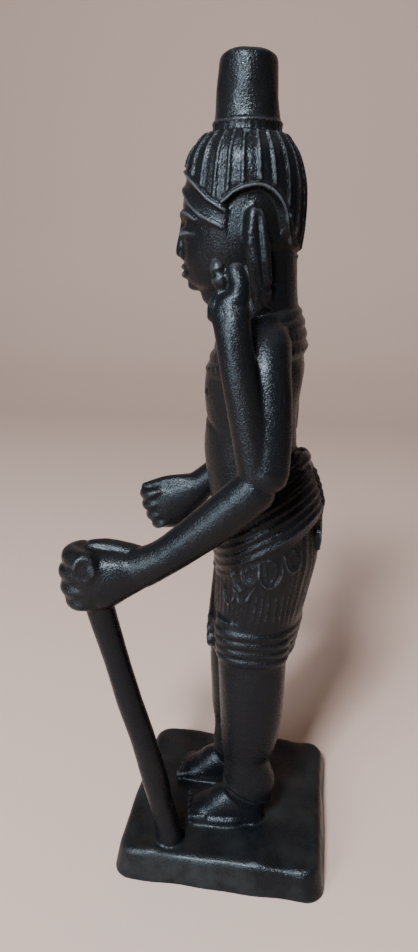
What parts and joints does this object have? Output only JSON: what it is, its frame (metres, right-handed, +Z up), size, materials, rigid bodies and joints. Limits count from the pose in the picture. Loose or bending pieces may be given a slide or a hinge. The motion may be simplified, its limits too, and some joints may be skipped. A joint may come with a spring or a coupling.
{
  "type": "vishnu statue",
  "caption": "Small cast bronze figure of a standing four-armed deity with a tall topknot and a mace, on a square base; stands as an ornament.",
  "frame": {"origin": "middle of the base's underside, where it meets what it stands on", "axes": "+Z up along the figure, -Y the way the figure faces, +X the figure's left"},
  "size_m": [0.0616, 0.0645, 0.199],
  "materials": {
    "vishnu_figure": "dark brown-black bronze patina, glossy on raised parts"
  },
  "bodies": {
    "root": {"vishnu_figure": "vishnu_figure"}
  },
  "joints": []
}
